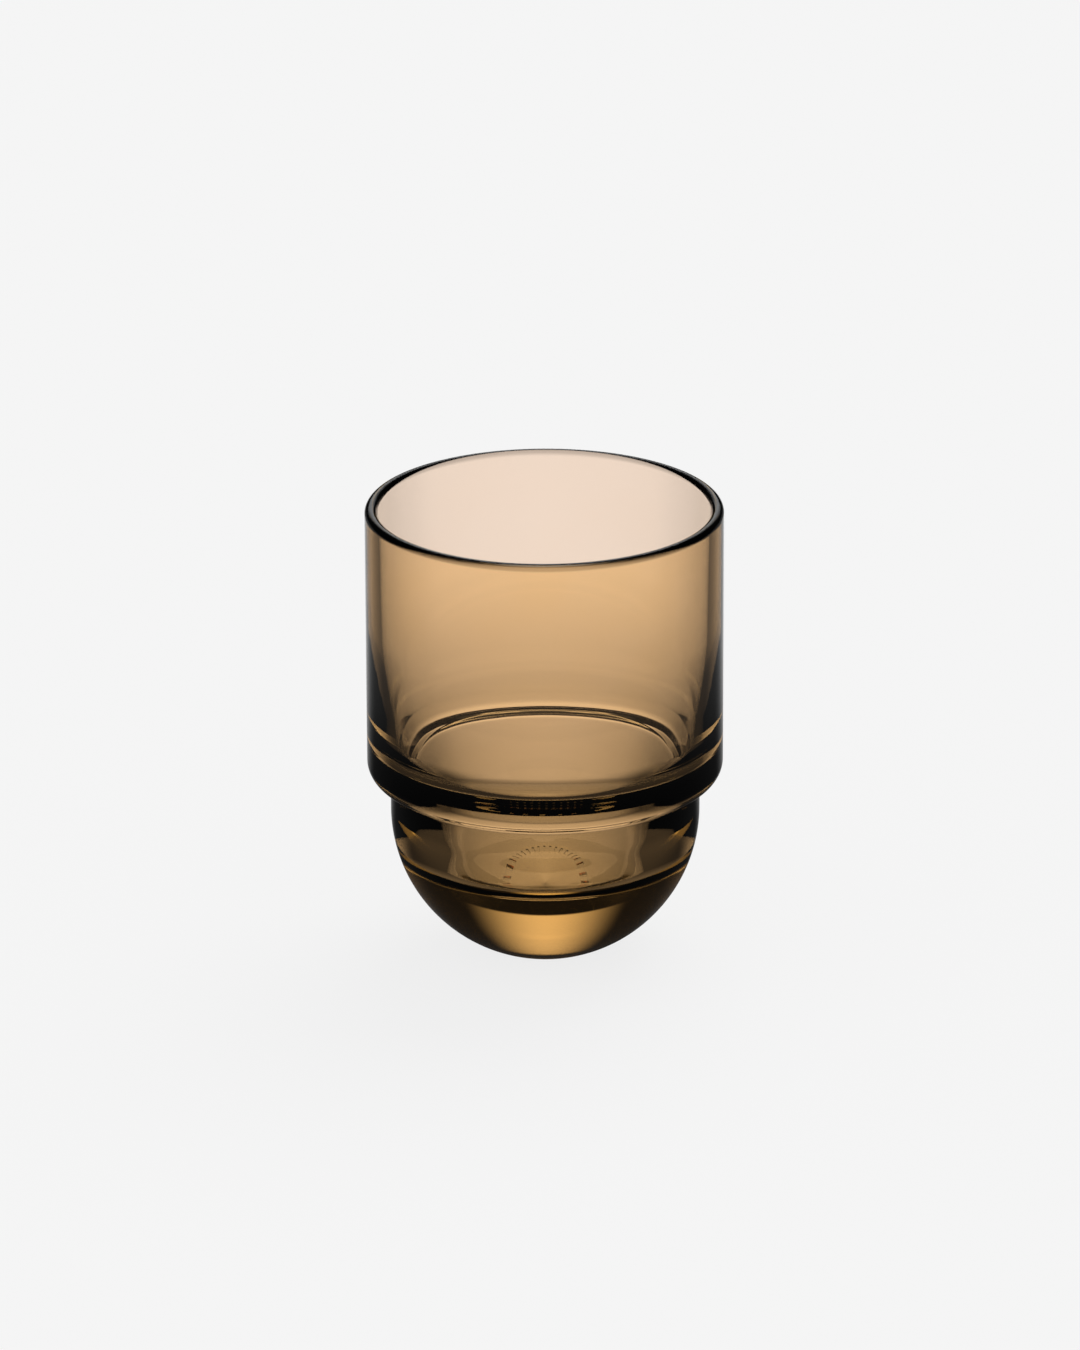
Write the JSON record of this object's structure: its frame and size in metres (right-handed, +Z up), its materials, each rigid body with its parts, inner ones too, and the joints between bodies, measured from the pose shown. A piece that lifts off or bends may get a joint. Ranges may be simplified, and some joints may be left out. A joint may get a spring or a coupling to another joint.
{
  "type": "glass tumbler",
  "caption": "Stacking glass tumbler: straight wall, stepped shoulder that seats on the rim below, and a rounded thick-bottomed bowl on a flat foot.",
  "frame": {"origin": "middle of the foot's flat underside, where the glass stands", "axes": "+Z up along the glass's axis of revolution, from the foot to the rim; X and Y may point anywhere, since the glass is round"},
  "size_m": [0.075, 0.075, 0.0972],
  "materials": {
    "amber_glass": "clear fire-polished gloss with a warm amber-brown tint"
  },
  "bodies": {
    "root": {"tumbler_body": "amber_glass"}
  },
  "joints": []
}
